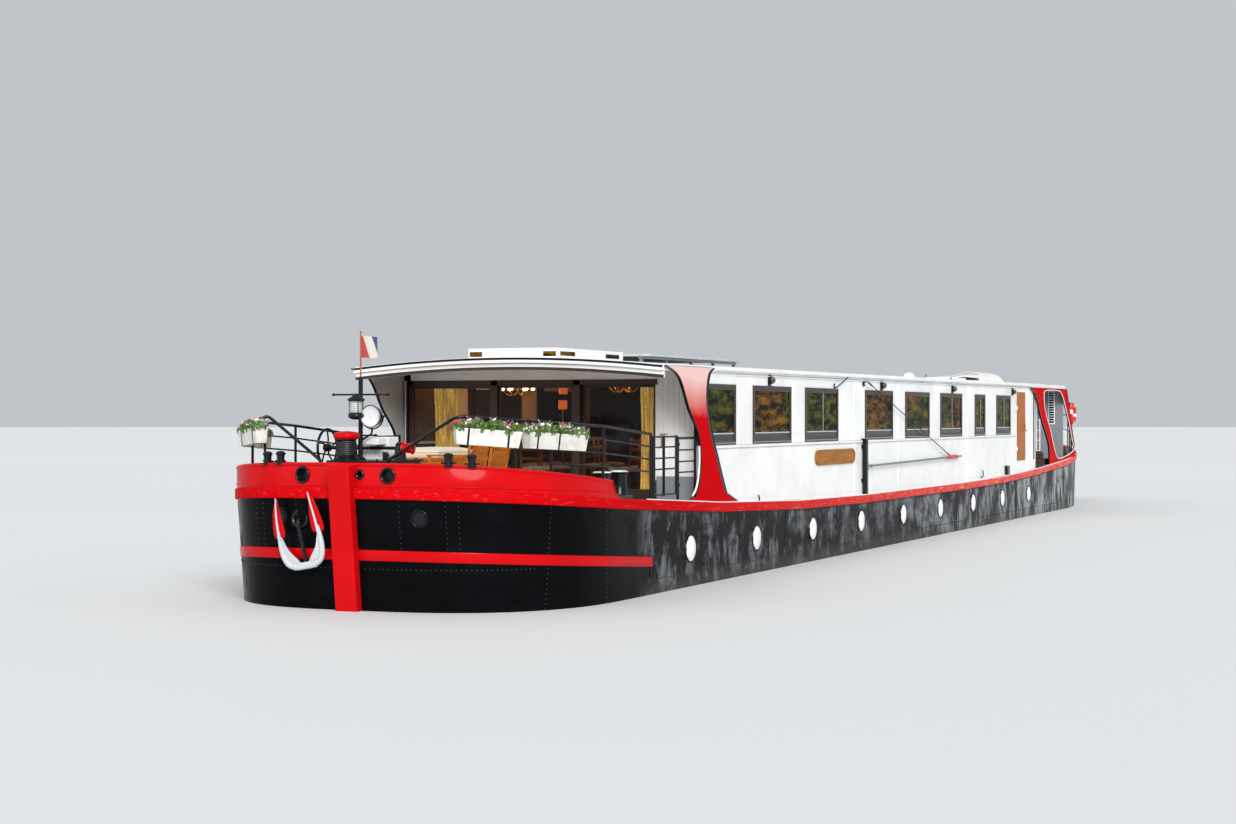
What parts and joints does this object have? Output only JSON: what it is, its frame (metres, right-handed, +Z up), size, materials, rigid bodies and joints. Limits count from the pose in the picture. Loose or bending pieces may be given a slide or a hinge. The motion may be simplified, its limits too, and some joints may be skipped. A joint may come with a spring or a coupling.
{
  "type": "river boat",
  "caption": "Steel canal barge fitted out as a hotel boat: long white cabin, open foredeck, red side panels, windlass, swing boom, rudder and propeller.",
  "frame": {"origin": "under the middle of the flat bottom, on the surface that it stands on", "axes": "+X towards the bow, +Y to port, +Z up"},
  "size_m": [38.5, 5.05, 4.7193],
  "materials": {
    "hull_paint": "gloss black, worn to grey aft",
    "red_paint": "gloss",
    "white_paint": "gloss",
    "grey_paint": "satin",
    "black_paint": "gloss",
    "window_frame": "brown anodised",
    "pane": "clear",
    "varnished_wood": "varnished",
    "mooring_rope": "laid fibre",
    "cloth": "woven",
    "curtain_cloth": "woven, gold",
    "trough_plastic": "matt white",
    "panel_aluminium": "satin",
    "propeller_bronze": "cast bronze",
    "buoy": "matt"
  },
  "bodies": {
    "boat": {"hull": "hull_paint", "stem": "red_paint", "rub_rail_port": "red_paint", "rub_rail_starboard": "red_paint", "bow_bulwark": "red_paint", "roof": "white_paint", "side_wall_port": "white_paint", "side_wall_starboard": "white_paint", "windows_port": "window_frame", "windows_starboard": "window_frame", "front_wall": "white_paint", "front_glass_starboard": "pane", "front_glass_centre": "pane", "aft_house": "grey_paint", "front_panel_port": "red_paint", "front_panel_starboard": "red_paint", "aft_panel_port": "red_paint", "aft_panel_starboard": "red_paint", "helm_stand": "white_paint", "windlass_bed": "black_paint", "bow_mast": "black_paint", "flag": "cloth", "anchor": "white_paint", "bow_railing_port": "black_paint", "bow_railing_starboard": "black_paint", "gate_post_port": "black_paint", "gate_post_starboard": "black_paint", "flower_trough_fore_port": "trough_plastic", "flower_trough_aft_port": "trough_plastic", "flower_trough_fore_starboard": "trough_plastic", "flower_trough_aft_starboard": "trough_plastic", "bollards_bow_port": "black_paint", "bollards_bow_starboard": "black_paint", "bollards_stern_port": "black_paint", "bollards_stern_starboard": "black_paint", "boom_post": "black_paint", "roof_box": "white_paint", "solar_array": "panel_aluminium", "canvas_bundle": "cloth", "curtain_starboard": "curtain_cloth", "curtain_port": "curtain_cloth", "stern_railing": "white_paint", "ladder": "white_paint", "lifebuoy": "buoy", "deck_chair_fore": "varnished_wood", "deck_chair_aft": "varnished_wood", "deck_locker": "varnished_wood", "rope_coil": "mooring_rope"},
    "rudder": {"rudder": "hull_paint"},
    "propeller": {"propeller": "propeller_bronze"},
    "helm_wheel": {"helm_wheel": "varnished_wood"},
    "capstan": {"capstan": "red_paint"},
    "windlass": {"windlass_shaft": "red_paint"},
    "front_door": {"front_door": "window_frame"},
    "side_door_port": {"side_door_port": "varnished_wood"},
    "side_door_starboard": {"side_door_starboard": "varnished_wood"},
    "aft_door": {"aft_door": "varnished_wood"},
    "side_gate_port": {"side_gate_port": "black_paint"},
    "side_gate_starboard": {"side_gate_starboard": "black_paint"},
    "boom": {"boom": "black_paint"}
  },
  "joints": [
    {"name": "rudder_turn", "type": "hinge", "parent": "boat", "child": "rudder", "pos_m": [-17.8, 0, 0.5], "axis": [0, 0, 1], "range_deg": [-65, 65]},
    {"name": "helm_turn", "type": "hinge", "parent": "boat", "child": "helm_wheel", "pos_m": [-8.21, 0, 4.15], "axis": [1, 0, 0], "range_deg": [-1170, 1170]},
    {"name": "propeller_spin", "type": "hinge", "parent": "boat", "child": "propeller", "pos_m": [-16.98, 0, 0.52], "axis": [1, 0, 0], "continuous": true},
    {"name": "capstan_spin", "type": "hinge", "parent": "boat", "child": "capstan", "pos_m": [18.68, -0.2, 3.2], "axis": [0, 0, 1], "continuous": true},
    {"name": "windlass_spin", "type": "hinge", "parent": "boat", "child": "windlass", "pos_m": [18.3, 0, 3.225], "axis": [0, 1, 0], "continuous": true},
    {"name": "front_door_slide", "type": "slide", "parent": "boat", "child": "front_door", "axis": [0, -1, 0], "range_m": [0, 1.24]},
    {"name": "side_door_port_hinge", "type": "hinge", "parent": "boat", "child": "side_door_port", "pos_m": [-7.35, 2.41, 3.4], "axis": [0, 0, -1], "range_deg": [0, 100]},
    {"name": "side_door_starboard_hinge", "type": "hinge", "parent": "boat", "child": "side_door_starboard", "pos_m": [-7.35, -2.41, 3.4], "axis": [0, 0, 1], "range_deg": [0, 100]},
    {"name": "aft_door_hinge", "type": "hinge", "parent": "boat", "child": "aft_door", "pos_m": [-12.82, 0.4, 3.4], "axis": [0, 0, -1], "range_deg": [0, 100]},
    {"name": "side_gate_port_hinge", "type": "hinge", "parent": "boat", "child": "side_gate_port", "pos_m": [14.115, 2.385, 3], "axis": [0, 0, -1], "range_deg": [0, 95]},
    {"name": "side_gate_starboard_hinge", "type": "hinge", "parent": "boat", "child": "side_gate_starboard", "pos_m": [14.115, -2.385, 3], "axis": [0, 0, 1], "range_deg": [0, 95]},
    {"name": "boom_swing", "type": "hinge", "parent": "boat", "child": "boom", "pos_m": [5.15, 2.47, 2.73], "axis": [0, 0, -1], "range_deg": [0, 100]}
  ],
  "couplings": [
    {"joint": "helm_turn", "follows": "rudder_turn", "ratio": 18}
  ]
}
